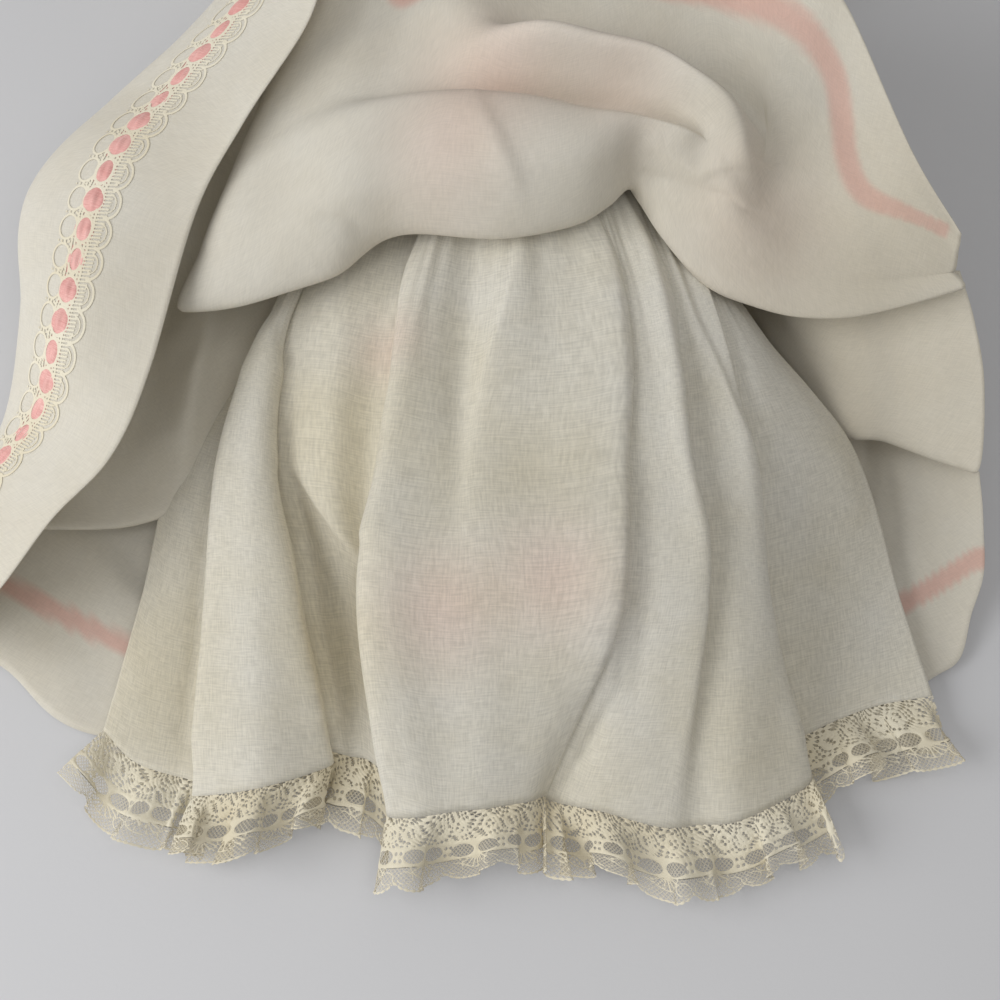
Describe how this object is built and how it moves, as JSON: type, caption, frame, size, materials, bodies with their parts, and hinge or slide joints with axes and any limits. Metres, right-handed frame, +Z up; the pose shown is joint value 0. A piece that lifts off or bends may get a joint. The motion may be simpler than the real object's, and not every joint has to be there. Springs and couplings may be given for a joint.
{
  "type": "porcelain baby doll",
  "caption": "Porcelain baby doll with a stuffed cloth body, lying in a long lace-trimmed cotton gown whose front is turned up over a gathered petticoat.",
  "frame": {"origin": "on the table under the gown's back panel, in the doll's middle plane, between the knees and feet", "axes": "+Z up from the table, +Y from the feet to the head, +X to the doll's left"},
  "size_m": [0.2987, 0.4073, 0.1016],
  "materials": {
    "muslin": "unbleached muslin, stuffed",
    "cord": "twisted cotton cord",
    "lace": "cream cotton lace",
    "ribbon": "pink satin",
    "bisque": "unglazed tinted porcelain",
    "eye_glass": "blown glass eye",
    "card": "pressed card",
    "mohair": "light brown mohair on a cap",
    "cotton_lawn": "cream cotton lawn"
  },
  "bodies": {
    "torso": {"body_bag": "muslin", "neck_cord": "cord", "gown_bodice": "cotton_lawn", "gown_neck_lace": "lace", "petticoat_waistband": "cotton_lawn", "petticoat_front_panel": "cotton_lawn", "petticoat_back_panel": "cotton_lawn", "petticoat_front_lace": "lace", "petticoat_back_lace": "lace", "gown_front_panel": "cotton_lawn", "gown_front_lace": "lace", "gown_front_ribbon": "ribbon", "gown_right_side_panel": "cotton_lawn", "gown_right_side_lace": "lace", "gown_right_side_ribbon": "ribbon", "gown_left_side_panel": "cotton_lawn", "gown_left_side_lace": "lace", "gown_left_side_ribbon": "ribbon", "gown_back_panel": "cotton_lawn", "gown_back_lace": "lace", "gown_back_ribbon": "ribbon"},
    "head": {"head_shell": "bisque", "right_eye": "eye_glass", "left_eye": "eye_glass", "crown_pate": "card", "wig": "mohair"},
    "right_arm": {"right_upper_arm": "muslin", "right_forearm": "bisque", "right_arm_cord": "cord", "right_sleeve": "cotton_lawn", "right_cuff_lace": "lace"},
    "right_leg": {"right_thigh": "muslin", "right_lower_leg": "bisque", "right_leg_cord": "cord"},
    "left_arm": {"left_upper_arm": "muslin", "left_forearm": "bisque", "left_arm_cord": "cord", "left_sleeve": "cotton_lawn", "left_cuff_lace": "lace"},
    "left_leg": {"left_thigh": "muslin", "left_lower_leg": "bisque", "left_leg_cord": "cord"}
  },
  "joints": [
    {"name": "head_turn", "type": "hinge", "parent": "torso", "child": "head", "pos_m": [0, 0.192, 0.046], "axis": [0, 1, 0], "range_deg": [-60, 60]},
    {"name": "right_arm_swing", "type": "hinge", "parent": "torso", "child": "right_arm", "pos_m": [-0.036, 0.168, 0.026], "axis": [1, 0, 0], "range_deg": [0, 100]},
    {"name": "left_arm_swing", "type": "hinge", "parent": "torso", "child": "left_arm", "pos_m": [0.036, 0.168, 0.026], "axis": [1, 0, 0], "range_deg": [0, 100]},
    {"name": "right_leg_spread", "type": "hinge", "parent": "torso", "child": "right_leg", "pos_m": [-0.019, 0.068, 0.019], "axis": [0, 0, -1], "range_deg": [0, 7]},
    {"name": "left_leg_spread", "type": "hinge", "parent": "torso", "child": "left_leg", "pos_m": [0.019, 0.068, 0.019], "axis": [0, 0, 1], "range_deg": [0, 7]}
  ]
}
